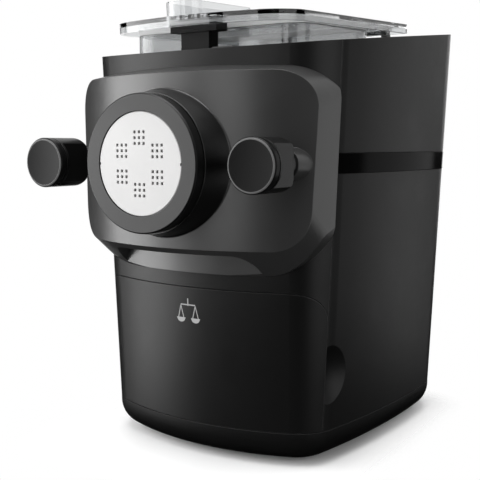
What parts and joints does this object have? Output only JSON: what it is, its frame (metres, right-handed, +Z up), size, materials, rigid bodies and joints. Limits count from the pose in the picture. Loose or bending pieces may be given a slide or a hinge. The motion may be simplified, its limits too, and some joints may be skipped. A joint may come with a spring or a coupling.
{
  "type": "pasta machine",
  "caption": "Countertop pasta machine with a lidded clear mixing chamber, a front nozzle with a shaping disc, clamping knobs, a storage drawer and a geared auger drive.",
  "frame": {"origin": "centre of the footprint at the underside of the feet", "axes": "+Z up, the front with the nozzle and knobs faces -Y, +X to the right seen from the front"},
  "size_m": [0.2518, 0.3154, 0.3497],
  "materials": {
    "body_black": "fine satin grain",
    "base_black": "satin",
    "panel_black": "satin, softly reflecting",
    "gloss_black": "high gloss",
    "display_glass": "smoked window",
    "clear_plastic": "clear moulded plastic",
    "chamber_clear": "lightly smoked plastic",
    "nut_grey": "satin dark grey",
    "disc_white": "smooth white",
    "knob_black": "soft touch",
    "knob_cap_black": "satin with a bright bevel",
    "latch_black": "satin",
    "inner_grey": "moulded",
    "dough_white": "smooth",
    "steel": "turned",
    "aluminium": "cast",
    "brass": "turned",
    "rubber": "matte",
    "silicone": "soft",
    "board_green": "solder mask",
    "capacitor_sleeve": "sleeve"
  },
  "bodies": {
    "main_unit": {"rear_shell": "body_black", "trim_band": "gloss_black", "front_housing": "body_black", "base_tray": "base_black", "threaded_inserts": "brass", "drawer_runners": "inner_grey", "mixing_chamber": "chamber_clear", "inner_frame": "inner_grey", "base_screws": "steel", "top_deck": "inner_grey", "lid_hinge_pins": "steel", "control_panel": "gloss_black", "display_window": "display_glass", "display_board": "board_green", "lid_switch": "inner_grey", "gearbox_housing": "aluminium", "gearbox_cover": "aluminium", "gearbox_screws": "steel", "motor_screws": "steel", "shaft_bushes": "brass", "shaft_seal": "silicone", "idler_axle": "steel", "motor_can": "aluminium", "motor_end_cap": "aluminium", "motor_stator": "steel", "cord_gland": "latch_black", "rubber_feet": "rubber", "load_cells": "aluminium", "power_board": "board_green", "run_capacitor": "capacitor_sleeve", "switch_bezel": "gloss_black"},
    "front_panel": {"front_panel": "panel_black", "shaping_disc": "disc_white", "extrusion_tube": "inner_grey", "tube_seal": "silicone"},
    "disc_nut": {"disc_nut": "nut_grey"},
    "left_knob": {"left_knob_grip": "knob_black", "left_knob_cap": "knob_cap_black", "left_knob_stud": "steel"},
    "right_knob": {"right_knob_grip": "knob_black", "right_knob_cap": "knob_cap_black", "right_knob_stud": "steel"},
    "drawer": {"drawer_front": "body_black", "drawer_tray": "inner_grey"},
    "lid": {"lid": "clear_plastic", "lid_seal": "silicone"},
    "lid_latch": {"lid_latch": "latch_black"},
    "start_button": {"start_button": "latch_black"},
    "program_button": {"program_button": "latch_black"},
    "portion_button": {"portion_button": "latch_black"},
    "power_switch": {"power_switch": "latch_black"},
    "drive": {"drive_shaft": "steel", "output_gear": "steel", "auger": "dough_white", "stirring_paddle": "dough_white"},
    "idler": {"idler_gear": "steel"},
    "rotor": {"rotor": "steel", "motor_pinion": "steel", "cooling_fan": "inner_grey"}
  },
  "joints": [
    {"name": "front_panel_slide", "type": "slide", "parent": "main_unit", "child": "front_panel", "axis": [0, -1, 0], "range_m": [0, 0.12]},
    {"name": "disc_nut_turn", "type": "hinge", "parent": "front_panel", "child": "disc_nut", "pos_m": [0, -0.15671, 0.224], "axis": [0, -1, 0], "range_deg": [0, 90]},
    {"name": "left_knob_turn", "type": "hinge", "parent": "front_panel", "child": "left_knob", "pos_m": [-0.0898, -0.15671, 0.224], "axis": [0, -1, 0], "range_deg": [0, 1080]},
    {"name": "right_knob_turn", "type": "hinge", "parent": "front_panel", "child": "right_knob", "pos_m": [0.0898, -0.15671, 0.224], "axis": [0, -1, 0], "range_deg": [0, 1080]},
    {"name": "drawer_slide", "type": "slide", "parent": "main_unit", "child": "drawer", "axis": [0, -1, 0], "range_m": [0, 0.1]},
    {"name": "lid_hinge", "type": "hinge", "parent": "main_unit", "child": "lid", "pos_m": [0, 0.11465, 0.33796], "axis": [-1, 0, 0], "range_deg": [0, 95]},
    {"name": "lid_latch_slide", "type": "slide", "parent": "main_unit", "child": "lid_latch", "axis": [0, -1, 0], "range_m": [0, 0.004], "stiffness_N_per_m": 500},
    {"name": "start_button_press", "type": "slide", "parent": "main_unit", "child": "start_button", "axis": [0, 0.1191, -0.9929], "range_m": [0, 0.0015], "stiffness_N_per_m": 800},
    {"name": "program_button_press", "type": "slide", "parent": "main_unit", "child": "program_button", "axis": [0, 0.1191, -0.9929], "range_m": [0, 0.0015], "stiffness_N_per_m": 800},
    {"name": "portion_button_press", "type": "slide", "parent": "main_unit", "child": "portion_button", "axis": [0, 0.1191, -0.9929], "range_m": [0, 0.0015], "stiffness_N_per_m": 800},
    {"name": "power_switch_rock", "type": "hinge", "parent": "main_unit", "child": "power_switch", "pos_m": [-0.058, 0.13846, 0.054], "axis": [-1, 0, 0], "range_deg": [0, 16]},
    {"name": "drive_spin", "type": "hinge", "parent": "main_unit", "child": "drive", "pos_m": [0, 0, 0.224], "axis": [0, -1, 0], "continuous": true},
    {"name": "idler_spin", "type": "hinge", "parent": "main_unit", "child": "idler", "pos_m": [0, 0, 0.154], "axis": [0, -1, 0], "continuous": true},
    {"name": "rotor_spin", "type": "hinge", "parent": "main_unit", "child": "rotor", "pos_m": [0, 0, 0.11025], "axis": [0, -1, 0], "continuous": true}
  ],
  "couplings": [
    {"joint": "idler_spin", "follows": "drive_spin", "ratio": -4},
    {"joint": "rotor_spin", "follows": "drive_spin", "ratio": 16}
  ]
}
